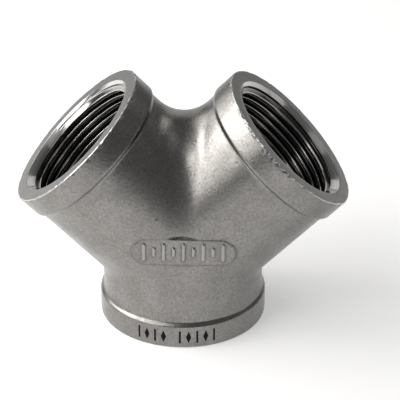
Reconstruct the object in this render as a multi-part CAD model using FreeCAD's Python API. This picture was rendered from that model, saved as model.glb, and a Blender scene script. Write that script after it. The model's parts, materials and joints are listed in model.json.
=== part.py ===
import FreeCAD, Part
import math
import os

# Equal 90 degree Y piece with three female 1 1/4 inch pipe threads: one hollow investment casting.
# Frame: origin at the centre of the lower port's end face, +Z up along the lower port.
# The two upper ports lean to -X and +X. Everything is in millimetres and degrees.

# Body
BRANCH_LEAN = 45.0  # lean of each upper port from +Z, so the two stand 90 degrees apart
BRANCH_REACH = 46.5  # from the crossing of the axes to an upper port's end face
RUN_REACH = 27.4  # from the crossing of the axes to the lower port's end face
NECK_RADIUS = 25.0
CROTCH_FILLET = 11.0  # between the two upper necks
WAIST_FILLET = 7.0  # between an upper neck and the lower one

# Collar around each port
COLLAR_RADIUS = 26.0
COLLAR_LAND = 7.4  # the straight outside of a collar, from the end face back
COLLAR_BACK_CHAMFER = 1.0  # behind the land, down to the neck
FACE_EDGE_FILLET = 0.3

# Thread: 55 degree parallel pipe thread, 11 turns to the inch
THREAD_PITCH = 25.4 / 11
THREAD_MAJOR_RADIUS = 41.910 / 2
THREAD_MINOR_RADIUS = 38.952 / 2
THREAD_HALF_ANGLE = 27.5
THREAD_FLAT = THREAD_PITCH / 6  # width of the flat at a root, and about that of a crest
THREAD_LENGTH = 16.0  # depth of the last groove below the end face
THREAD_START = 40.0  # where around the port the groove starts, clear of the bore's own seam
BORE_DEPTH = 18.0  # the plain wall below the last groove is where the tap runs out
MOUTH_RADIUS = 21.75
MOUTH_CHAMFER_DEPTH = 1.5
CREST_SECTORS = 4  # how many short arcs each turn of a crest is divided into

# Cored passages behind the threads
PASSAGE_RADIUS = 20.0
PASSAGE_CROTCH_ROUND = 4.0
PASSAGE_WAIST_ROUND = 2.0

# Marking pad: a flat face with round ends on the front, where the arms meet. It stands proud in
# the valley between the upper necks and cuts a little into their rounds. Raised marks stand on it.
PAD_LENGTH = 31.6
PAD_HEIGHT = 8.8
PAD_CENTRE_X = 0.6
PAD_RISE = 6.0  # its centre above the crossing of the axes
PAD_FRONT = 24.7  # from the axes' plane to the pad's face
PAD_DEPTH = 3.0  # how far the pad reaches back into the wall
MARK_RELIEF = 0.35
MARK_WIDTH = 1.0
MARK_PITCH = 3.0
MARK_TALL = 5.8
MARK_SHORT = 3.0
MARK_HEIGHTS = 4 * [MARK_TALL, MARK_SHORT] + [MARK_TALL]  # a plain row of bars, from -X to +X

OVERLAP = 1.0  # how far a cutting tool stands out past what it cuts
CLOSE = 0.001  # two points this near each other are the same

ORIGIN = FreeCAD.Vector(0, 0, 0)

UP = FreeCAD.Vector(0, 0, 1)
CROSSING = FreeCAD.Vector(0, 0, RUN_REACH)
FRONT = FreeCAD.Vector(0, -1, 0)


def port_axes():
    """The outward direction and reach of the lower, left and right port."""
    side = math.sin(math.radians(BRANCH_LEAN))
    rise = math.cos(math.radians(BRANCH_LEAN))
    return [
        (FreeCAD.Vector(0, 0, -1), RUN_REACH),
        (FreeCAD.Vector(-side, 0, rise), BRANCH_REACH),
        (FreeCAD.Vector(side, 0, rise), BRANCH_REACH),
    ]


def at_port(shape, axis, reach):
    """Moves a shape made about +Z, with the end face at z = 0 and outward up, to a port."""
    placed = shape.copy()
    port = FreeCAD.Placement(CROSSING + axis * reach, FreeCAD.Rotation(UP, axis))
    placed.Placement = port * shape.Placement
    return placed


def middle(edge):
    """The point halfway along an edge."""
    return edge.valueAt((edge.FirstParameter + edge.LastParameter) / 2)


def waist_seams(shape):
    """The seams of three bare arms that lie outside the plane x = 0, round the waist."""
    found = []
    for edge in shape.Edges:
        if isinstance(edge.Curve, Part.Ellipse) and abs(middle(edge).x) > CLOSE:
            found.append(edge)
    return found


def crotch_seams(shape):
    """The seams in the plane x = 0 above the crossing, which are left after the waist is filleted."""
    found = []
    for edge in shape.Edges:
        point = middle(edge)
        if abs(point.x) < CLOSE and abs(point.y) > OVERLAP and point.z > CROSSING.z + OVERLAP:
            if not isinstance(edge.Curve, Part.Circle):
                found.append(edge)
    return found


def wye(radius, extra, crotch_fillet, waist_fillet):
    """Three round arms of one radius that meet at the crossing, each longer than its port by extra."""
    arms = []
    for axis, reach in port_axes():
        arms.append(Part.makeCylinder(radius, reach + extra, CROSSING, axis))
    joined = arms[0].multiFuse(arms[1:]).removeSplitter()
    joined = joined.makeFillet(waist_fillet, waist_seams(joined))
    return joined.makeFillet(crotch_fillet, crotch_seams(joined))


def collar():
    """One port's collar as a solid disc, chamfered behind and rounded at the end face."""
    width = COLLAR_LAND + COLLAR_BACK_CHAMFER
    disc = Part.makeCylinder(COLLAR_RADIUS, width, FreeCAD.Vector(0, 0, -width))
    rims = [edge for edge in disc.Edges if isinstance(edge.Curve, Part.Circle)]
    back = [edge for edge in rims if middle(edge).z < -width / 2]
    disc = disc.makeChamfer(COLLAR_BACK_CHAMFER, back)
    rims = [edge for edge in disc.Edges if isinstance(edge.Curve, Part.Circle)]
    front = [edge for edge in rims if abs(middle(edge).z) < CLOSE]
    return disc.makeFillet(FACE_EDGE_FILLET, front)


def port_bore():
    """The drilled bore of one port with its mouth chamfer, as a solid to cut away."""
    drill = Part.makeCylinder(
        THREAD_MINOR_RADIUS, BORE_DEPTH + OVERLAP, FreeCAD.Vector(0, 0, -BORE_DEPTH)
    )
    slope = (MOUTH_RADIUS - THREAD_MINOR_RADIUS) / MOUTH_CHAMFER_DEPTH
    countersink = Part.makeCone(
        THREAD_MINOR_RADIUS,
        MOUTH_RADIUS + slope * OVERLAP,
        MOUTH_CHAMFER_DEPTH + OVERLAP,
        FreeCAD.Vector(0, 0, -MOUTH_CHAMFER_DEPTH),
    )
    return drill.fuse(countersink)


def thread_groove():
    """The helical groove of one port's thread, as a solid to cut away. It is right handed."""
    flare = math.tan(math.radians(THREAD_HALF_ANGLE))
    root_half = THREAD_FLAT / 2
    inner = THREAD_MINOR_RADIUS - OVERLAP / 2
    inner_half = root_half + (THREAD_MAJOR_RADIUS - inner) * flare
    outline = Part.makePolygon(
        [
            FreeCAD.Vector(inner, 0, -inner_half),
            FreeCAD.Vector(THREAD_MAJOR_RADIUS, 0, -root_half),
            FreeCAD.Vector(THREAD_MAJOR_RADIUS, 0, root_half),
            FreeCAD.Vector(inner, 0, inner_half),
            FreeCAD.Vector(inner, 0, -inner_half),
        ]
    )
    run = THREAD_LENGTH - root_half + THREAD_PITCH
    helix = Part.makeHelix(THREAD_PITCH, run, THREAD_MINOR_RADIUS)
    sweep = Part.BRepOffsetAPI.MakePipeShell(Part.Wire(helix.Edges))
    sweep.setFrenetMode(True)
    sweep.add(outline, False, False)
    sweep.build()
    sweep.makeSolid()
    groove = sweep.shape()
    groove.rotate(ORIGIN, UP, THREAD_START)
    groove.translate(FreeCAD.Vector(0, 0, root_half - THREAD_LENGTH))
    return groove


def crest_dividers():
    """The drilled bore again, as sectors of a cylinder. They remove nothing once the bore is cut.
    Their edges divide the crests, so that each crest face is a short arc that stays near one depth."""
    bottom = FreeCAD.Vector(0, 0, -BORE_DEPTH)
    angle = 360 / CREST_SECTORS
    sectors = []
    for number in range(CREST_SECTORS):
        sector = Part.makeCylinder(THREAD_MINOR_RADIUS, BORE_DEPTH + OVERLAP, bottom, UP, angle)
        sector.rotate(ORIGIN, UP, number * angle)
        sectors.append(sector)
    return sectors


def slot_prism(length, height, centre_x, front, back):
    """A prism along Y whose outline has straight sides and round ends, lying along X."""
    half = height / 2
    straight = (length - height) / 2
    left = centre_x - straight
    right = centre_x + straight
    low = CROSSING.z + PAD_RISE - half
    mid = low + half
    high = mid + half

    def point(x, z):
        return FreeCAD.Vector(x, -front, z)

    right_end = Part.Arc(point(right, low), point(right + half, mid), point(right, high))
    left_end = Part.Arc(point(left, high), point(left - half, mid), point(left, low))
    outline = Part.Wire(
        [
            Part.makeLine(point(left, low), point(right, low)),
            right_end.toShape(),
            Part.makeLine(point(right, high), point(left, high)),
            left_end.toShape(),
        ]
    )
    return Part.Face(outline).extrude(FreeCAD.Vector(0, front - back, 0))


def mark_prism(height, centre_x):
    """One raised mark of the pad: an upright bar."""
    front = PAD_FRONT + MARK_RELIEF
    foot = CROSSING.z + PAD_RISE - height / 2
    corner = FreeCAD.Vector(centre_x - MARK_WIDTH / 2, -front, foot)
    return Part.makeBox(MARK_WIDTH, MARK_RELIEF + OVERLAP, height, corner)


def add_marking_pad(body):
    """Gives the front its flat pad and the row of raised marks."""
    outside = slot_prism(PAD_LENGTH, PAD_HEIGHT, PAD_CENTRE_X, COLLAR_RADIUS, PAD_FRONT)
    inside = slot_prism(PAD_LENGTH, PAD_HEIGHT, PAD_CENTRE_X, PAD_FRONT, PAD_FRONT - PAD_DEPTH)
    body = body.cut(outside).fuse(inside)
    first = PAD_CENTRE_X - (len(MARK_HEIGHTS) - 1) / 2 * MARK_PITCH
    for number, height in enumerate(MARK_HEIGHTS):
        body = body.fuse(mark_prism(height, first + number * MARK_PITCH))
    return body


def y_fitting_body():
    """The whole casting, hollow, with its three threaded ports."""
    body = wye(NECK_RADIUS, 0, CROTCH_FILLET, WAIST_FILLET)
    for axis, reach in port_axes():
        body = body.fuse(at_port(collar(), axis, reach))
    body = add_marking_pad(body)
    passages = wye(PASSAGE_RADIUS, -BORE_DEPTH, PASSAGE_CROTCH_ROUND, PASSAGE_WAIST_ROUND)
    body = body.cut(passages)
    for axis, reach in port_axes():
        body = body.cut(at_port(port_bore(), axis, reach))
    for axis, reach in port_axes():
        body = body.cut(at_port(thread_groove(), axis, reach))
    for axis, reach in port_axes():
        body = body.cut([at_port(sector, axis, reach) for sector in crest_dividers()])
    return body


def main():
    os.makedirs("parts", exist_ok=True)
    body = y_fitting_body()
    box = body.optimalBoundingBox(True, False)
    print("valid", body.isValid(), "solids", len(body.Solids), "faces", len(body.Faces))
    print("volume cm3", round(body.Volume / 1000, 3))
    print("size mm", round(box.XLength, 2), round(box.YLength, 2), round(box.ZLength, 2))
    body.exportStep("parts/y_fitting_body.step")


main()
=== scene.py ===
import json
import math
import random

import bmesh
import bpy
import numpy as np
from mathutils import Matrix, Vector, noise


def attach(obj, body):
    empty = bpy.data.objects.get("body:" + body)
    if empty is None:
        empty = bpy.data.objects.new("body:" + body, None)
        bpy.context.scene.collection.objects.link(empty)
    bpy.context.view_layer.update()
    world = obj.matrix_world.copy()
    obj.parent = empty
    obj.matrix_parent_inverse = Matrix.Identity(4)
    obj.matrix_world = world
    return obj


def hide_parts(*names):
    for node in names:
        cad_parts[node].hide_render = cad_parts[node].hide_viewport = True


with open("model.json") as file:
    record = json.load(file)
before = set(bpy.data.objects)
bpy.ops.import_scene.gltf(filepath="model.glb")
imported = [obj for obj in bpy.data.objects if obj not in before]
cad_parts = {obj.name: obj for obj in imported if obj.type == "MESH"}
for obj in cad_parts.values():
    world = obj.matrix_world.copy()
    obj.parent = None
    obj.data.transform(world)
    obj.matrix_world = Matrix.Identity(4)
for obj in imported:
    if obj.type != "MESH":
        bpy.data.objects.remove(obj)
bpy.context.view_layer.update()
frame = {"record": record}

# Lengths are worked out in millimetres and become metres in the mesh and in objects.
MM = 0.001
CASTING_NODE = "y_fitting_body"

# The casting's sizes
BRANCH_REACH = 46.5
NECK_RADIUS = 25.0
CROTCH_FILLET = 11.0
WAIST_FILLET = 7.0
COLLAR_RADIUS = 26.0
COLLAR_LAND = 7.4
COLLAR_STEP = 1.0
COLLAR_FOOT = COLLAR_LAND + COLLAR_STEP
COLLAR_EASE = 0.25  # how far the corner between a collar's land and its step is eased
FACE_EDGE_ROUND = 0.3
MOUTH_EDGE_BREAK = 0.02  # the small break between the end face and the mouth's cone
MOUTH_RADIUS = 21.75
MOUTH_DEPTH = 1.5  # of the frame's mouth chamfer: the bore's length is counted from behind it
PASSAGE_RADIUS = 20.0
PASSAGE_CROTCH_ROUND = 4.0
PASSAGE_WAIST_ROUND = 2.0
PASSAGE_STEP_DEPTH = 0.25
BETWEEN_SKINS = (NECK_RADIUS + PASSAGE_RADIUS) / 2  # a radius inside the wall

# Thread: 11 turns to the inch, of the 55 degree form with round roots. Drilling leaves narrow
# flats on the crests. The starts are how far in each port's first crest begins.
PITCH = 25.4 / 11
THREAD_HEIGHT = 0.640327 * PITCH
ROOT_ROUND = 0.137329 * PITCH
CREST_FLAT = 0.2 * PITCH
THREAD_STARTS = (0.0, 0.46, 1.66)
THREAD_LENGTH = 16.0
THREAD_FADE = 1.6
THREAD_RUNOUT = 0.1  # plain bore between the thread's end and the ring that closes it
BORE_EASE = 0.05  # at the drilled bore's end
HALF_ANGLE = math.radians(27.5)

# Marking pad: its outline, how far forward it stands, its marks, and the ledge round it. The
# slopes are how fast the surface beside the pad may rise past it or drop behind it. The lean is
# how much further forward the pad's lower edge stands than its middle.
PAD_LENGTH = 31.6
PAD_HEIGHT = 8.8
PAD_CENTRE_X = 0.6
PAD_RISE = 6.0
PAD_FRONT = 24.7
MARK_RELIEF = 0.35
MARK_WIDTH = 1.0
MARK_PITCH = 3.0
MARK_TALL = 5.8
MARK_SHORT = 3.0
MARK_HEIGHTS = 4 * [MARK_TALL, MARK_SHORT] + [MARK_TALL]
MARK_EDGE = 0.34
PAD_CUT_SLOPE = 1.2
PAD_EDGE_SLOPE = 2.2
PAD_MARGIN = 1.3
PAD_LEAN = 0.22
# how wide the painted shade in the corners along the pad's outline and round its marks reaches
CORNER_WIDTH = 0.3

# Cast skin: waviness as wavelength and height, and how many times rougher the cored passages are.
# Then the wear of the upper ports' rims: how deep it reaches, its wave, its burrs and its nicks.
# Then small bumps and pits. A listed spot has the port whose neck it is on, its depth
# behind the port's face, its angle, its radius and its height. The others are random.
UNEVENNESS = [(16.0, 0.06), (6.0, 0.02)]
CORE_ROUGHNESS = 1.6
RIM_DEPTH = 1.2
RIM_WAVE = 0.04
BURR = 0.18
NICK = 0.26
SEED = 11
SEED_SHIFT = 17.3
SPOT_COUNT = 60
SPOT_SIZES = (0.35, 0.7)
SPOT_HEIGHTS = (-0.09, 0.07, 0.1)
HAND_SPOTS = [
    (1, 14.0, 250, 0.6, 0.12),
    (1, 20.0, 262, 0.5, 0.12),
    (2, 24.0, 270, 0.7, 0.16),
    (0, 15.0, 280, 0.5, 0.1),
]

# Colours, and roughnesses as one value or as the two ends of a range
CAST_DARK = (0.2, 0.193, 0.185)
CAST_LIGHT = (0.285, 0.277, 0.268)
CAST_ROUGHNESS = (0.35, 0.27)
TURNED_DARK = (0.27, 0.266, 0.262)
TURNED_LIGHT = (0.31, 0.306, 0.30)
EDGE_COLOUR = (0.55, 0.545, 0.54)
EDGE_DEPTHS = (0.45, 0.15)  # where the worn edge's colour begins and is full
# Painted shade on the cored passages inside the wall
CORE_SHADE_COLOUR = (0.10, 0.098, 0.094)
# Painted shade in the corners along the pad's outline and round its marks, and how strong it is
CORNER_SHADE_COLOUR = (0.09, 0.087, 0.083)
CORNER_SHADE_SHARE = 0.45
# The marks' crowns: lighter partly from wear, partly from a painted highlight
CROWN_WEAR_AND_HIGHLIGHT = (0.34, 0.332, 0.323)
FACE_ROUGHNESS = 0.34
CONE_COLOUR = (0.52, 0.515, 0.51)
CONE_ROUGHNESS = 0.2
THREAD_LIGHT = (0.52, 0.51, 0.5)
# Painted shade for the thread's roots and for the thread deep in the bore
THREAD_ROOT_SHADE = (0.09, 0.088, 0.085)
THREAD_ROUGHNESS = (0.1, 0.16)
THREAD_SHADE_DEPTHS = (0.6, 3.0)  # where the roots' painted shade begins and is full
THREAD_SHADE_HEIGHTS = (0.04, 0.45)  # the same, as heights outside the crests

# Noises as waves per millimetre, detail and roughness, then the relief of each bump in millimetres
MOTTLE = (0.12, 4.0, 0.6)
MOTTLE_SHARE = 0.3
SPECKLE = (1.5, 3.0, 0.6)
SWELL = (0.55, 2.0)
SWELL_RELIEF = 0.02
GRAIN = (1.2, 3.0, 0.65)
GRAIN_RELIEF = 0.055
STAIN = (0.3, 4.0, 0.6)
TURNING = (5.0, 2.0, 0.6)
TURNING_RELIEF = 0.006
FACE_GRAIN = (2.6, 3.0)
FACE_GRAIN_RELIEF = 0.012
GRIME = (0.6, 4.0, 0.6)
NOISE_MIDDLE = (0.35, 0.65)  # most of a noise's values are between these
NOISE_RANGE = (0.3, 0.7)  # and nearly all of them between these

# Printed marks round the front of the lower collar, in two groups. Where a group starts is a
# distance round the collar from its front.
INK_COLOUR = (0.012, 0.012, 0.014)
INK_PITCH = 2.7
INK_START = -15.0
INK_COUNT = 4
INK_SECOND = INK_START + 4.9 * INK_PITCH
INK_SECOND_COUNT = 5
INK_RISE = 3.8
INK_HEIGHT = 4.3
INK_WIDTH = 1.7
INK_STROKE = 0.65
INK_SOFT = 0.09

# Floor, surround and lights, in metres, degrees and watts. A light has its azimuth, its elevation,
# its distance from the crossing, its width, its height and its power. The powers, the world's
# strength and the floor's glow began as a least-squares fit of renders to the photograph's
# brightness, and were then rounded and changed.
FLOOR_RADIUS = 3.0
FLOOR_SIDES = 96
FLOOR_DROP = -0.0001
FLOOR_LOW = (0.88, 0.88, 0.88)
FLOOR_HIGH = (0.90, 0.90, 0.90)
FLOOR_NOISE = (0.004, 2.0)
FLOOR_ROUGHNESS = 0.9
FLOOR_SPECULAR = 0.2
FLOOR_GLOW = 0.36
WORLD_COLOUR = (1.0, 1.0, 1.0)
WORLD_STRENGTH = 0.155
LIGHT_COLOUR = (1.0, 0.985, 0.955)
LIGHTS = [
    (-136, 28, 0.9, 0.38, 0.3, 0.2),
    (-120, 30, 0.45, 0.3, 0.25, 0.5),
    (-112, 47, 0.9, 0.38, 0.3, 0.3),
    (-90, 35, 0.45, 0.3, 0.25, 0.85),
    (-86, 37, 0.9, 0.38, 0.3, 1.3),
    (-64, 28, 0.9, 0.38, 0.3, 0.55),
    (-60, 66, 0.9, 0.7, 0.35, 0.25),
    (-50, 25, 0.45, 0.3, 0.2, 0.45),
    (-43, 49, 0.9, 0.38, 0.3, 1.1),
    (86, 11, 0.9, 0.4, 0.28, 0.2),
    (78, 68, 0.9, 0.5, 0.35, 0.15),
    (128, 42, 0.9, 0.4, 0.3, 0.4),
    (-137, 46, 0.9, 0.25, 0.2, 0.2),
    (180, 20, 0.9, 0.7, 0.45, 0.7),
]

# Camera: bearing and roll in degrees, distance in metres, lens and sensor width in millimetres.
# All but the sensor's width come from a least-squares fit to points on the photograph's outlines,
# which took the lower collar as 52 mm across.
CAMERA_AZIMUTH = 1.19
CAMERA_ELEVATION = 29.83
CAMERA_ROLL = 0.08
CAMERA_DISTANCE = 0.6913
CAMERA_LENS = 198.85
CAMERA_SENSOR = 36.0
CAMERA_SHIFT = (0.0422, 0.0726)

# Mesh density: points round an arm, the longest steps along it, the step from the neck to the
# collar, the rings of a collar's land and of an end face, and the shortest edge of a rim that is
# still divided
AROUND = 160
NECK_STEP = 1.0
PASSAGE_STEP = 1.9
COLLAR_GAP = 0.3
LAND_RINGS = 8
FACE_RINGS = 5
RIM_EDGE = 0.3
SETTLE_ROUNDS = 14

# The materials' places on the mesh
CAST, TURNED, THREADED = 0, 1, 2


def load_ports():
    """The crossing of the ports' axes and each port's outward axis and reach, from the frame."""
    mounts = {m["name"]: m for m in frame["record"]["mounts"]}
    axis = mounts["right_port_thread"]["axis"]
    point = mounts["right_port_thread"]["pos_m"]
    height = (point[2] - point[0] * axis[2] / axis[0]) / MM
    ports = []
    for side in ("lower", "left", "right"):
        axis = np.array(mounts[side + "_port_thread"]["axis"], float)
        axis /= np.linalg.norm(axis)
        ports.append((axis, height if side == "lower" else BRANCH_REACH))
    return np.array([0.0, 0.0, height]), ports, mounts["lower_port_thread"]["dims"]


CROSSING, PORTS, BORE = load_ports()
THREAD_RADIUS = BORE["r_mm"]
BORE_DEPTH = MOUTH_DEPTH + BORE["length_mm"]
THETA = 2 * math.pi * np.arange(AROUND) / AROUND


def noise_at(points, wavelength, seed):
    """Smooth random values from -1 to 1 that change over about a wavelength. Each seed looks at
    another part of the same noise."""
    places = points / wavelength + SEED_SHIFT * seed
    return np.array([noise.noise(place) for place in places.tolist()])


def fade(value, start, end):
    """Rises smoothly from 0 at start to 1 at end."""
    share = np.clip((value - start) / (end - start), 0, 1)
    return share * share * (3 - 2 * share)


# ---------------------------------------------------------------- shape of the arms


def place(axis, along, radius, theta):
    """Points a distance along an arm's axis from the crossing, at a radius and angle round it."""
    across = np.cross((0, 1, 0), axis)
    along, radius, theta = np.broadcast_arrays(along, radius, theta)
    out = CROSSING + along[..., None] * axis
    out = out + (radius * np.cos(theta))[..., None] * across
    return out + (radius * np.sin(theta))[..., None] * np.array([0.0, 1.0, 0.0])


def neighbour(port, towards_across):
    """The port next to this one on the side its across direction points to, or on the other."""
    axis = PORTS[port][0]
    across = np.cross((0, 1, 0), axis) * (1 if towards_across else -1)
    others = [k for k in range(len(PORTS)) if k != port]
    return max(others, key=lambda k: float(np.dot(PORTS[k][0], across)))


def seam_distance(port, radius):
    """How far along an arm's axis its round meets its two neighbours', at each angle."""
    out = np.zeros(AROUND)
    for sign in (1, -1):
        other = neighbour(port, sign > 0)
        between = math.acos(float(np.dot(PORTS[port][0], PORTS[other][0])))
        side = radius * np.cos(THETA) * sign
        out = np.where(side > 0, side / math.tan(between / 2), out)
    return out


def to_cylinder(points, port, radius):
    """Each point's distance outside an arm's round, and the direction straight out of it."""
    axis = PORTS[port][0]
    offset = points - CROSSING
    radial = offset - (offset @ axis)[:, None] * axis
    length = np.linalg.norm(radial, axis=1)
    return length - radius, radial / length[:, None]


def settle_pair(points, port, other, radius, fillet):
    """Moves points onto two arms' rounds joined by a rolling-ball fillet."""
    moved = points.copy()
    for _ in range(SETTLE_ROUNDS):
        d1, n1 = to_cylinder(moved, port, radius)
        d2, n2 = to_cylinder(moved, other, radius)
        cosine = np.sum(n1 * n2, axis=1)
        sine2 = np.maximum(1 - cosine**2, 1e-9)
        a1 = d1 - fillet
        a2 = d2 - fillet
        w1 = -(a1 - a2 * cosine) / sine2
        w2 = -(a2 - a1 * cosine) / sine2
        blended = (w1 > 0) & (w2 > 0)
        pull = w1[:, None] * n1 + w2[:, None] * n2
        length = np.maximum(np.linalg.norm(pull, axis=1), 1e-9)
        nearest = np.where((d1 < d2)[:, None], n1, n2)
        distance = np.where(blended, fillet - length, np.minimum(d1, d2))
        outward = np.where(blended[:, None], pull / length[:, None], nearest)
        moved = moved - distance[:, None] * outward
    return moved


def settle(points, radius, crotch_fillet, waist_fillet):
    """Moves points near the three arms onto their blended round surface."""
    lean = np.stack([(points - CROSSING) @ axis for axis, _ in PORTS])
    order = np.argsort(-lean, axis=0)
    moved = points.copy()
    for port in range(len(PORTS)):
        for other in range(len(PORTS)):
            chosen = (order[0] == port) & (order[1] == other)
            if port == other or not chosen.any():
                continue
            fillet = waist_fillet if 0 in (port, other) else crotch_fillet
            moved[chosen] = settle_pair(points[chosen], port, other, radius, fillet)
    return moved


# ---------------------------------------------------------------- mesh patches


class Shell:
    """Collects vertices and faces, with a material for each face."""

    def __init__(self):
        self.points = []
        self.faces = []
        self.slots = []
        self.count = 0

    def add(self, points):
        """Adds an array of points and returns their numbers in the same arrangement."""
        flat = points.reshape(-1, 3)
        numbers = np.arange(self.count, self.count + len(flat)).reshape(points.shape[:-1])
        self.points.append(flat)
        self.count += len(flat)
        return numbers

    def skin(self, rows, slot):
        """Joins successive closed rings of vertices with quads."""
        for lower, upper in zip(rows[:-1], rows[1:]):
            quads = np.stack([lower, np.roll(lower, -1), np.roll(upper, -1), upper], axis=1)
            self.faces += quads.tolist()
            self.slots += [slot] * len(quads)


def neck_rows(port):
    """The neck of one arm from its seams with the others to the collar's foot."""
    axis, reach = PORTS[port]
    start = seam_distance(port, NECK_RADIUS)
    end = reach - COLLAR_FOOT - COLLAR_GAP
    count = math.ceil((end - start.min()) / NECK_STEP)
    t = np.linspace(0, 1, count + 1)[:, None]
    points = place(axis, start + (end - start) * t, NECK_RADIUS, THETA)
    flat = settle(points.reshape(-1, 3), NECK_RADIUS, CROTCH_FILLET, WAIST_FILLET)
    return flat.reshape(points.shape)


def passage_rows(port):
    """The cored passage of one arm from the drilled bore's end to its seams with the others."""
    axis, reach = PORTS[port]
    end = seam_distance(port, PASSAGE_RADIUS)
    start = reach - BORE_DEPTH - PASSAGE_STEP_DEPTH
    count = math.ceil((start - end.min()) / PASSAGE_STEP)
    t = np.sin(np.linspace(0, 1, count + 1) * math.pi / 2)[:, None]
    points = place(axis, start + (end - start) * t, PASSAGE_RADIUS, THETA)
    flat = settle(
        points.reshape(-1, 3), PASSAGE_RADIUS, PASSAGE_CROTCH_ROUND, PASSAGE_WAIST_ROUND
    )
    return flat.reshape(points.shape)


def collar_profile():
    """Depth behind the end face and radius of each ring of a collar, from the foot to the face."""
    foot = COLLAR_FOOT
    land = COLLAR_LAND
    neck = NECK_RADIUS
    top = COLLAR_RADIUS
    edge = FACE_EDGE_ROUND
    ease = COLLAR_EASE
    rings = [(foot - 0.03, neck + 0.06), (foot - 0.3, neck + 0.3)]
    rings += [(land + 0.24, top - 0.24), (land + 0.03, top - 0.05), (land - ease, top)]
    rings += [(land - ease - step, top) for step in np.linspace(0.8, land - 1.2, LAND_RINGS)]
    rings += [(edge, top)]
    for turn in (30, 60, 90):
        angle = math.radians(turn)
        depth = edge * (1 - math.sin(angle))
        rings.append((depth, top - edge * (1 - math.cos(angle))))
    return rings


def cone_radius(depth):
    """The radius of the mouth's 45 degree cone at a depth."""
    return MOUTH_RADIUS - depth


def face_profile():
    """Depth and radius of each ring of the turned end face, and the start of the mouth's cone."""
    outer = COLLAR_RADIUS - FACE_EDGE_ROUND
    inner = MOUTH_RADIUS + 0.12
    rings = [(0.0, radius) for radius in np.linspace(outer - 0.15, inner, FACE_RINGS)]
    rings += [(MOUTH_EDGE_BREAK, MOUTH_RADIUS), (0.1, cone_radius(0.1))]
    return rings


def thread_profile():
    """Half a turn of the thread's outline: distances from a crest's middle, and how far outside
    the crest's radius each is."""
    flat = CREST_FLAT / 2
    touch = ROOT_ROUND * math.cos(HALF_ANGLE)
    rise = ROOT_ROUND * (1 - math.sin(HALF_ANGLE))
    distances = [0.0, flat, flat + 0.06, PITCH / 2 - touch, PITCH / 2]
    heights = [0.0, 0.0, 0.08, THREAD_HEIGHT - rise, THREAD_HEIGHT]
    return distances, heights


def thread_patch(shell, port, top_ring, top_depth, bottom_ring, bottom_depth):
    """The helical surface between two flat rings. Its rows follow the thread, a pitch per turn."""
    axis, reach = PORTS[port]
    distances, heights = thread_profile()
    steps = np.array(distances + [PITCH - x for x in distances[-2:0:-1]])
    heights = np.array(heights + heights[-2:0:-1])
    per_turn = len(steps)
    turns = math.ceil(bottom_depth / PITCH) + 3
    offsets = ((np.arange(turns)[:, None] - 1) * PITCH + steps).ravel()
    depth = THREAD_STARTS[port] + offsets[:, None] - PITCH * np.arange(AROUND) / AROUND
    groove = np.tile(heights, turns)[:, None] * fade(THREAD_LENGTH - depth, 0, THREAD_FADE)
    radius = np.maximum(THREAD_RADIUS + groove, cone_radius(depth))
    numbers = shell.add(place(axis, reach - depth, radius, THETA))
    close = 0.04
    numbers = np.where(depth < top_depth + close, top_ring, numbers)
    numbers = np.where(depth > bottom_depth - close, bottom_ring, numbers)
    wrapped = np.concatenate([np.full(per_turn, top_ring[0]), numbers[:, 0]])[: len(offsets)]
    numbers = np.concatenate([numbers, wrapped[:, None]], axis=1)
    for upper, lower in zip(numbers[:-1], numbers[1:]):
        for a, b, c, d in zip(upper[:-1], upper[1:], lower[1:], lower[:-1]):
            corners = list(dict.fromkeys((int(a), int(b), int(c), int(d))))
            if len(corners) > 2:
                shell.faces.append(corners)
                shell.slots.append(THREADED)


def build_arm(shell, port):
    """Every surface of one arm, from the outside seams round the end face to the inside seams."""
    axis, reach = PORTS[port]

    def ring(depth, radius):
        return shell.add(place(axis, reach - depth, radius, THETA))

    outside = list(shell.add(neck_rows(port)))
    outside += [ring(*size) for size in collar_profile()]
    shell.skin(outside, CAST)
    face = [outside[-1]] + [ring(*size) for size in face_profile()]
    root_depth = MOUTH_RADIUS - THREAD_RADIUS - THREAD_HEIGHT
    face.append(ring(root_depth, cone_radius(root_depth)))
    shell.skin(face, TURNED)
    thread_end = THREAD_LENGTH + THREAD_RUNOUT
    bottom = ring(thread_end, THREAD_RADIUS)
    thread_patch(shell, port, face[-1], root_depth, bottom, thread_end)
    inside = [bottom, ring(BORE_DEPTH - BORE_EASE, THREAD_RADIUS)]
    inside.append(ring(BORE_DEPTH, THREAD_RADIUS + BORE_EASE))
    shell.skin(inside, THREADED)
    inside = [inside[-1]] + list(shell.add(passage_rows(port)))
    shell.skin(inside, CAST)


def build_casting():
    """The whole casting as one closed mesh in millimetres."""
    shell = Shell()
    for port in range(len(PORTS)):
        build_arm(shell, port)
    mesh = bpy.data.meshes.new("draft")
    mesh.from_pydata(np.concatenate(shell.points).tolist(), [], shell.faces)
    mesh.polygons.foreach_set("material_index", shell.slots)
    work = bmesh.new()
    work.from_mesh(mesh)
    bpy.data.meshes.remove(mesh)
    bmesh.ops.remove_doubles(work, verts=work.verts, dist=0.0005)
    loose = [v for v in work.verts if not v.link_faces]
    bmesh.ops.delete(work, geom=loose, context="VERTS")
    return work


# ---------------------------------------------------------------- finer shapes


def port_frame(points):
    """For each point the nearest port's number, the depth behind its face, and the radius as a
    length and as a vector."""
    along = np.stack([(points - CROSSING) @ axis for axis, _ in PORTS])
    port = np.argmax(along, axis=0)
    reach = np.array([reach for _, reach in PORTS])[port]
    axes = np.array([axis for axis, _ in PORTS])[port]
    depth = reach - along[port, np.arange(len(points))]
    offset = points - CROSSING
    radial = offset - np.sum(offset * axes, axis=1)[:, None] * axes
    return port, depth, np.linalg.norm(radial, axis=1), radial


def coordinates(work):
    """The positions of all vertices as an array."""
    return np.array([v.co for v in work.verts]).reshape(-1, 3)


def move_vertices(work, points):
    """Writes an array of positions back to the vertices."""
    for vertex, point in zip(work.verts, points.tolist()):
        vertex.co = point


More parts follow.
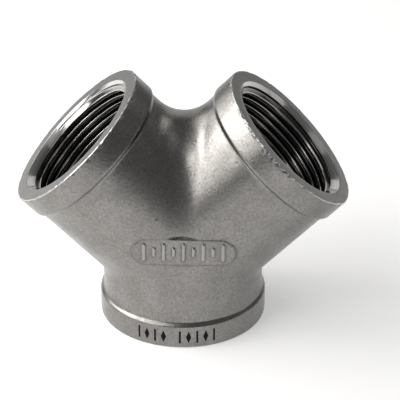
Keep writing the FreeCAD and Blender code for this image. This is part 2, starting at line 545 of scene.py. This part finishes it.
def to_nominal(points):
    """Puts points that are near the outside back on its exact rounds, after a subdivision."""
    _, depth, radius, radial = port_frame(points)
    neck = (depth > COLLAR_FOOT + 0.2) & (radius > BETWEEN_SKINS)
    points = points.copy()
    points[neck] = settle(points[neck], NECK_RADIUS, CROTCH_FILLET, WAIST_FILLET)
    land = (depth < COLLAR_LAND - 0.2) & (depth > FACE_EDGE_ROUND - 0.01)
    land &= radius > COLLAR_RADIUS - 0.05
    grow = COLLAR_RADIUS / radius[land] - 1
    points[land] += radial[land] * grow[:, None]
    return points


def refine(work, chosen, shortest=0.0):
    """Splits the faces whose middles the test picks out, at each edge over the shortest length."""
    centres = np.array([f.calc_center_median() for f in work.faces])
    picked = chosen(centres)
    edges = {e for face, take in zip(list(work.faces), picked) if take for e in face.edges}
    edges = [e for e in edges if e.calc_length() > shortest]
    old = len(work.verts)
    bmesh.ops.subdivide_edges(work, edges=edges, cuts=1, use_grid_fill=True)
    work.verts.ensure_lookup_table()
    added = work.verts[old:]
    fresh = to_nominal(np.array([v.co for v in added]).reshape(-1, 3))
    for vertex, point in zip(added, fresh.tolist()):
        vertex.co = point


def pad_distance(x, z):
    """Distance outside the marking pad's outline, a slot with round ends."""
    straight = (PAD_LENGTH - PAD_HEIGHT) / 2
    beyond = np.maximum(np.abs(x - PAD_CENTRE_X) - straight, 0)
    return np.hypot(beyond, z - CROSSING[2] - PAD_RISE) - PAD_HEIGHT / 2


def mark_distance(x, z):
    """Distance outside the nearest raised mark: tall and short upright bars with round ends."""
    rise = z - CROSSING[2] - PAD_RISE
    nearest = np.full(len(x), PAD_LENGTH)
    for number, height in enumerate(MARK_HEIGHTS):
        across = x - PAD_CENTRE_X - (number - (len(MARK_HEIGHTS) - 1) / 2) * MARK_PITCH
        beyond = np.maximum(np.abs(rise) - (height - MARK_WIDTH) / 2, 0)
        nearest = np.minimum(nearest, np.hypot(across, beyond) - MARK_WIDTH / 2)
    return nearest


def press_pad(work):
    """Gives the front its flat marking pad with a soft cast ledge round it, and its marks."""

    def near_pad(points):
        near = pad_distance(points[:, 0], points[:, 2]) < PAD_MARGIN
        return near & (points[:, 1] < -PAD_FRONT / 2)

    def near_mark(points):
        near = mark_distance(points[:, 0], points[:, 2]) < MARK_EDGE
        return near & near_pad(points)

    refine(work, near_pad)
    refine(work, near_pad)
    refine(work, near_mark)
    points = coordinates(work)
    chosen = np.flatnonzero(near_pad(points))
    x, y, z = points[chosen].T
    outside = np.maximum(pad_distance(x, z), 0)
    front = PAD_FRONT + PAD_LEAN * fade(CROSSING[2] + PAD_RISE - z, 0, PAD_HEIGHT / 2)
    pressed = np.clip(y, -front - PAD_CUT_SLOPE * outside, -front + PAD_EDGE_SLOPE * outside)
    rise = fade(-mark_distance(x, z), -MARK_EDGE / 2, MARK_EDGE / 2)
    points[chosen, 1] = pressed - MARK_RELIEF * rise
    move_vertices(work, points)


def spots():
    """Small bumps and pits of the cast skin: where each is, its radius, and its height."""
    found = []
    for port, depth, angle, size, height in HAND_SPOTS:
        axis, reach = PORTS[port]
        centre = place(axis, reach - depth, NECK_RADIUS, np.array([math.radians(angle)]))
        found.append((to_nominal(centre)[0], size, height))
    draw = random.Random(SEED)
    for _ in range(SPOT_COUNT):
        port = draw.randrange(len(PORTS))
        axis, reach = PORTS[port]
        depth = draw.uniform(COLLAR_FOOT + 1.5, reach)
        angle = np.array([draw.uniform(0, 2 * math.pi)])
        centre = place(axis, reach - depth, NECK_RADIUS, angle)
        size = draw.uniform(*SPOT_SIZES)
        height = draw.choice(SPOT_HEIGHTS) * draw.uniform(0.5, 1)
        found.append((to_nominal(centre)[0], size, height))
    return found


def roughen(work):
    """Gives the cast skin its bumps, pits and waviness, and the upper ports' rims their wear."""
    marks = spots()

    def near_spot(points):
        near = np.zeros(len(points), bool)
        for centre, size, _ in marks:
            near |= np.linalg.norm(points - centre, axis=1) < 1.3 * size + 0.3
        return near

    def near_rim(points):
        port, depth, radius, _ = port_frame(points)
        return (depth < RIM_DEPTH) & (radius > COLLAR_RADIUS - 0.8) & (port > 0)

    refine(work, near_rim, RIM_EDGE)
    refine(work, near_rim, RIM_EDGE)
    refine(work, near_spot)
    refine(work, near_spot)
    work.normal_update()
    points = coordinates(work)
    normals = np.array([v.normal for v in work.verts]).reshape(-1, 3)
    port, depth, radius, radial = port_frame(points)
    outside = radius > BETWEEN_SKINS
    cored = ~outside & (depth > BORE_DEPTH + 1)
    skin = np.where(outside, fade(depth, FACE_EDGE_ROUND, 2.0), 0)
    skin = np.where(cored, fade(depth, BORE_DEPTH + 1, BORE_DEPTH + 3) * CORE_ROUGHNESS, skin)
    lift = np.zeros(len(points))
    for wavelength, height in UNEVENNESS:
        lift += height * noise_at(points, wavelength, wavelength)
    lift *= skin
    for centre, size, height in marks:
        away = np.linalg.norm(points - centre, axis=1) / size
        lift += height * np.exp(-(away**2) * 2) * (away < 3) * outside
    points += normals * lift[:, None]

    rim = fade(-depth, -RIM_DEPTH, -0.1)
    rim *= fade(radius, COLLAR_RADIUS - 0.6, COLLAR_RADIUS - 0.2)
    rim *= port > 0
    patchy = fade(noise_at(points, 9.0, 5), -0.55, -0.1)
    nicks = fade(noise_at(points, 1.3, 3), 0.05, 0.35)
    burrs = fade(noise_at(points, 1.0, 4), 0.1, 0.4)
    worn = patchy * (BURR * burrs - NICK * nicks)
    push = rim * (RIM_WAVE * noise_at(points, 3.0, 6) + worn)
    points += radial / radius[:, None] * push[:, None]
    move_vertices(work, points)


def finish_mesh(work):
    """Turns the working mesh into the casting's mesh, in metres. The materials use its
    attributes: each point's depth and radius at its port in millimetres, how near it is to a
    corner on the pad, where painted shade goes, and whether it is on a mark's crown, which is
    lighter from wear and a painted highlight."""
    bmesh.ops.recalc_face_normals(work, faces=work.faces)
    points = coordinates(work)
    _, depth, radius, _ = port_frame(points)
    x, y, z = points.T
    front = y < -PAD_FRONT / 2
    mark = mark_distance(x, z)
    # Painted shade goes in the corners along the pad's outline and round the marks' feet.
    edge = np.minimum(np.abs(pad_distance(x, z)), np.abs(mark - CORNER_WIDTH / 2))
    corner = np.exp(-((edge / CORNER_WIDTH) ** 2)) * front * (mark > -CORNER_WIDTH / 2)
    # The marks' crowns, lighter from wear and from a painted highlight.
    crown = fade(-mark, -0.1, 0.2) * front
    bmesh.ops.scale(work, vec=(MM, MM, MM), verts=work.verts)
    mesh = bpy.data.meshes.new("y_fitting")
    work.to_mesh(mesh)
    work.free()
    kept = {"port_depth": depth, "port_radius": radius, "corner": corner, "crown": crown}
    for name, values in kept.items():
        attribute = mesh.attributes.new(name, "FLOAT", "POINT")
        attribute.data.foreach_set("value", values)
    mesh.shade_smooth()
    return mesh


# ---------------------------------------------------------------- materials


class Surface:
    """A material's node tree, with short ways to add what the materials below are made of."""

    def __init__(self, name):
        self.material = bpy.data.materials.new(name)
        self.material.use_nodes = True
        self.nodes = self.material.node_tree.nodes
        self.links = self.material.node_tree.links
        self.shader = self.nodes["Principled BSDF"]
        coords = self.nodes.new("ShaderNodeTexCoord").outputs["Object"]
        scale = self.nodes.new("ShaderNodeVectorMath")
        scale.operation = "SCALE"
        scale.inputs["Scale"].default_value = 1 / MM
        self.links.new(coords, scale.inputs[0])
        self.position = scale.outputs[0]

    def math(self, operation, a, b=0.0, c=0.0):
        """An operation on two or three sockets or numbers."""
        node = self.nodes.new("ShaderNodeMath")
        node.operation = operation
        for socket, value in zip(node.inputs, (a, b, c)):
            if isinstance(value, (int, float)):
                socket.default_value = value
            else:
                self.links.new(value, socket)
        return node.outputs[0]

    def noise(self, scale, detail=3.0, roughness=0.5, line=None):
        """Noise through space, scale being waves per millimetre, or along one value."""
        node = self.nodes.new("ShaderNodeTexNoise")
        node.inputs["Scale"].default_value = scale
        node.inputs["Detail"].default_value = detail
        node.inputs["Roughness"].default_value = roughness
        if line is None:
            self.links.new(self.position, node.inputs["Vector"])
        else:
            node.noise_dimensions = "1D"
            self.links.new(line, node.inputs["W"])
        return node.outputs[0]

    def attribute(self, name):
        """A number kept with the mesh's points."""
        node = self.nodes.new("ShaderNodeAttribute")
        node.attribute_name = name
        return node.outputs["Fac"]

    def spread(self, value, low, high, out_low=0.0, out_high=1.0):
        """Maps a value from one range to another, smoothly and without leaving it."""
        node = self.nodes.new("ShaderNodeMapRange")
        node.interpolation_type = "SMOOTHSTEP"
        for name, number in zip(("From Min", "From Max"), (low, high)):
            node.inputs[name].default_value = number
        for name, number in zip(("To Min", "To Max"), (out_low, out_high)):
            node.inputs[name].default_value = number
        self.links.new(value, node.inputs["Value"])
        return node.outputs["Result"]

    def mix(self, share, first, second):
        """A colour between two, which are colours or sockets."""
        node = self.nodes.new("ShaderNodeMix")
        node.data_type = "RGBA"
        self.links.new(share, node.inputs[0])
        for socket, value in ((node.inputs[6], first), (node.inputs[7], second)):
            if isinstance(value, tuple):
                socket.default_value = (*value, 1)
            else:
                self.links.new(value, socket)
        return node.outputs[2]

    def bump(self, height, distance, below=None):
        """Relief whose height reaches a distance in millimetres, over the relief below it."""
        node = self.nodes.new("ShaderNodeBump")
        node.inputs["Distance"].default_value = distance * MM
        self.links.new(height, node.inputs["Height"])
        if below is not None:
            self.links.new(below, node.inputs["Normal"])
        return node.outputs["Normal"]

    def connect(self, value, name):
        """Drives one of the shader's sockets."""
        self.links.new(value, self.shader.inputs[name])


def ink_row(surface, start, count):
    """Where a row of printed marks covers the lower collar's front: bars and diamonds in turn.
    The row starts at a distance round the collar from its front, towards +X."""
    split = surface.nodes.new("ShaderNodeSeparateXYZ")
    surface.links.new(surface.position, split.inputs[0])
    x, y, z = split.outputs
    turn = surface.math("ARCTAN2", x, surface.math("MULTIPLY", y, -1))
    along = surface.math("MULTIPLY_ADD", turn, COLLAR_RADIUS / INK_PITCH, -start / INK_PITCH)
    across = surface.math("SUBTRACT", surface.math("FRACT", along), 0.5)
    across = surface.math("MULTIPLY", surface.math("ABSOLUTE", across), INK_PITCH)
    rise = surface.math("ABSOLUTE", surface.math("SUBTRACT", z, INK_RISE))
    tall = surface.math("SUBTRACT", rise, INK_HEIGHT / 2)
    bar = surface.math("MAXIMUM", surface.math("SUBTRACT", across, INK_STROKE / 2), tall)
    diamond = surface.math("MULTIPLY_ADD", rise, INK_WIDTH / INK_HEIGHT, -INK_WIDTH / 2)
    diamond = surface.math("ADD", across, diamond)
    odd = surface.math("PINGPONG", surface.math("FLOOR", along), 1.0)
    both = surface.math("MULTIPLY", surface.math("SUBTRACT", diamond, bar), odd)
    outside = surface.math("ADD", bar, both)
    inside_row = surface.math("COMPARE", along, count / 2, count / 2)
    front = surface.math("LESS_THAN", y, 0.0)
    low = surface.math("LESS_THAN", z, COLLAR_LAND)
    printed = surface.spread(outside, INK_SOFT, -INK_SOFT)
    for limit in (inside_row, front, low):
        printed = surface.math("MULTIPLY", printed, limit)
    return printed


def cast_skin():
    """Bead-blasted cast stainless steel: fine grain and mottling, brighter where the rims are
    worn, with painted shade in the pad's corners and inside the cored passages, the raised marks'
    crowns lighter from wear and a painted highlight, and the printed marks on top."""
    skin = Surface("cast_skin")
    skin.shader.inputs["Metallic"].default_value = 1.0
    mottle = skin.noise(*MOTTLE)
    speckle = skin.noise(*SPECKLE)
    shade = skin.math("MULTIPLY", speckle, 1 - MOTTLE_SHARE)
    shade = skin.math("MULTIPLY_ADD", mottle, MOTTLE_SHARE, shade)
    colour = skin.mix(skin.spread(shade, *NOISE_MIDDLE), CAST_DARK, CAST_LIGHT)
    worn = skin.spread(skin.attribute("port_depth"), *EDGE_DEPTHS)
    colour = skin.mix(worn, colour, EDGE_COLOUR)
    # Painted shade in the corners along the pad's outline and round the marks' feet
    corner_shade = skin.math("MULTIPLY", skin.attribute("corner"), CORNER_SHADE_SHARE)
    colour = skin.mix(corner_shade, colour, CORNER_SHADE_COLOUR)
    # The marks' crowns lighter: partly wear, partly a painted highlight
    colour = skin.mix(skin.attribute("crown"), colour, CROWN_WEAR_AND_HIGHLIGHT)
    # Painted shade on the cored passages inside
    cored = skin.spread(skin.attribute("port_radius"), PASSAGE_RADIUS + 2, PASSAGE_RADIUS + 1)
    colour = skin.mix(cored, colour, CORE_SHADE_COLOUR)
    first = ink_row(skin, INK_START, INK_COUNT)
    second = ink_row(skin, INK_SECOND, INK_SECOND_COUNT)
    ink = skin.math("MAXIMUM", first, second)
    skin.connect(skin.mix(ink, colour, INK_COLOUR), "Base Color")
    skin.connect(skin.spread(mottle, *NOISE_MIDDLE, *CAST_ROUGHNESS), "Roughness")
    swell = skin.bump(skin.noise(*SWELL), SWELL_RELIEF)
    skin.connect(skin.bump(skin.noise(*GRAIN), GRAIN_RELIEF, swell), "Normal")
    return skin.material


def turned_face():
    """The turned end faces with their fine rings, and the brighter cone of each port's mouth."""
    face = Surface("turned_face")
    face.shader.inputs["Metallic"].default_value = 1.0
    radius = face.attribute("port_radius")
    rings = face.noise(*TURNING, line=radius)
    cone = face.spread(radius, MOUTH_RADIUS + 0.05, MOUTH_RADIUS - 0.05)
    stain = face.spread(face.noise(*STAIN), *NOISE_MIDDLE)
    colour = face.mix(stain, TURNED_DARK, TURNED_LIGHT)
    face.connect(face.mix(cone, colour, CONE_COLOUR), "Base Color")
    roughness = face.math("MULTIPLY_ADD", cone, CONE_ROUGHNESS - FACE_ROUGHNESS, FACE_ROUGHNESS)
    face.connect(roughness, "Roughness")
    marks = face.bump(rings, TURNING_RELIEF)
    face.connect(face.bump(face.noise(*FACE_GRAIN), FACE_GRAIN_RELIEF, marks), "Normal")
    return face.material


def cut_thread():
    """The tapped thread, with painted shade in its roots and deep in the bore, so its crests and
    the part near the mouth stay brighter.
    """
    thread = Surface("cut_thread")
    thread.shader.inputs["Metallic"].default_value = 1.0
    radius = thread.attribute("port_radius")
    depth = thread.attribute("port_depth")
    heights = [THREAD_RADIUS + height for height in THREAD_SHADE_HEIGHTS]
    # Painted shade: the roots, and all of the thread deep in the bore, take the dark colour
    root = thread.spread(radius, *heights)
    root = thread.math("MULTIPLY", root, thread.spread(depth, *THREAD_SHADE_DEPTHS))
    thread.connect(thread.mix(root, THREAD_LIGHT, THREAD_ROOT_SHADE), "Base Color")
    grime = thread.noise(*GRIME)
    thread.connect(thread.spread(grime, *NOISE_RANGE, *THREAD_ROUGHNESS), "Roughness")
    return thread.material


# ---------------------------------------------------------------- the casting

work = build_casting()
press_pad(work)
roughen(work)
casting = bpy.data.objects.new("y_fitting", finish_mesh(work))
bpy.context.scene.collection.objects.link(casting)
for material in (cast_skin(), turned_face(), cut_thread()):
    casting.data.materials.append(material)
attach(casting, "root")
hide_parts(CASTING_NODE)

# ---------------------------------------------------------------- floor, lights and camera


def make_floor():
    """A plain pale floor under the fitting, faintly lit from below like a light table."""
    mesh = bpy.data.meshes.new("floor")
    ring = [2 * math.pi * k / FLOOR_SIDES for k in range(FLOOR_SIDES)]
    corners = [(FLOOR_RADIUS * math.cos(a), FLOOR_RADIUS * math.sin(a), FLOOR_DROP) for a in ring]
    mesh.from_pydata(corners, [], [list(range(len(corners)))])
    floor = bpy.data.objects.new("floor", mesh)
    bpy.context.scene.collection.objects.link(floor)
    paint = Surface("floor_paint")
    shade = paint.spread(paint.noise(*FLOOR_NOISE), *NOISE_RANGE)
    paint.connect(paint.mix(shade, FLOOR_LOW, FLOOR_HIGH), "Base Color")
    paint.shader.inputs["Roughness"].default_value = FLOOR_ROUGHNESS
    paint.shader.inputs["Specular IOR Level"].default_value = FLOOR_SPECULAR
    paint.shader.inputs["Emission Color"].default_value = (1, 1, 1, 1)
    paint.shader.inputs["Emission Strength"].default_value = FLOOR_GLOW
    mesh.materials.append(paint.material)


def direction(azimuth, elevation):
    """The unit vector towards a bearing in degrees: azimuth 0 is the front, 90 is +X."""
    turn = math.radians(azimuth)
    tilt = math.radians(elevation)
    flat = math.cos(tilt)
    return Vector((math.sin(turn) * flat, -math.cos(turn) * flat, math.sin(tilt)))


def aim(thing, towards, position):
    """Puts a camera or light at a position, looking the given way."""
    turn = towards.to_track_quat("-Z", "Y")
    thing.matrix_world = Matrix.Translation(position) @ turn.to_matrix().to_4x4()


def make_light(name, azimuth, elevation, distance, width, height, power):
    """A rectangular soft light that faces the crossing. The camera doesn't see it."""
    light = bpy.data.lights.new(name, "AREA")
    light.shape = "RECTANGLE"
    light.size = width
    light.size_y = height
    light.energy = power
    light.color = LIGHT_COLOUR
    lamp = bpy.data.objects.new(name, light)
    bpy.context.scene.collection.objects.link(lamp)
    lamp.visible_camera = False
    back = direction(azimuth, elevation)
    aim(lamp, -back, Vector(CROSSING * MM) + back * distance)


def make_camera():
    """The camera, aimed at the crossing of the ports' axes from the front and above."""
    data = bpy.data.cameras.new("camera")
    data.sensor_width = CAMERA_SENSOR
    data.lens = CAMERA_LENS
    data.shift_x = CAMERA_SHIFT[0]
    data.shift_y = CAMERA_SHIFT[1]
    camera = bpy.data.objects.new("camera", data)
    bpy.context.scene.collection.objects.link(camera)
    back = direction(CAMERA_AZIMUTH, CAMERA_ELEVATION)
    aim(camera, -back, Vector(CROSSING * MM) + back * CAMERA_DISTANCE)
    camera.matrix_world = camera.matrix_world @ Matrix.Rotation(math.radians(CAMERA_ROLL), 4, "Z")
    bpy.context.scene.camera = camera


def make_world():
    """An even pale surround."""
    world = bpy.data.worlds.new("studio")
    world.use_nodes = True
    world.node_tree.nodes["Background"].inputs["Color"].default_value = (*WORLD_COLOUR, 1)
    world.node_tree.nodes["Background"].inputs["Strength"].default_value = WORLD_STRENGTH
    bpy.context.scene.world = world


make_floor()
for number, light in enumerate(LIGHTS):
    make_light("softbox_" + str(number), *light)
make_camera()
make_world()
bpy.context.scene.view_settings.view_transform = "Standard"
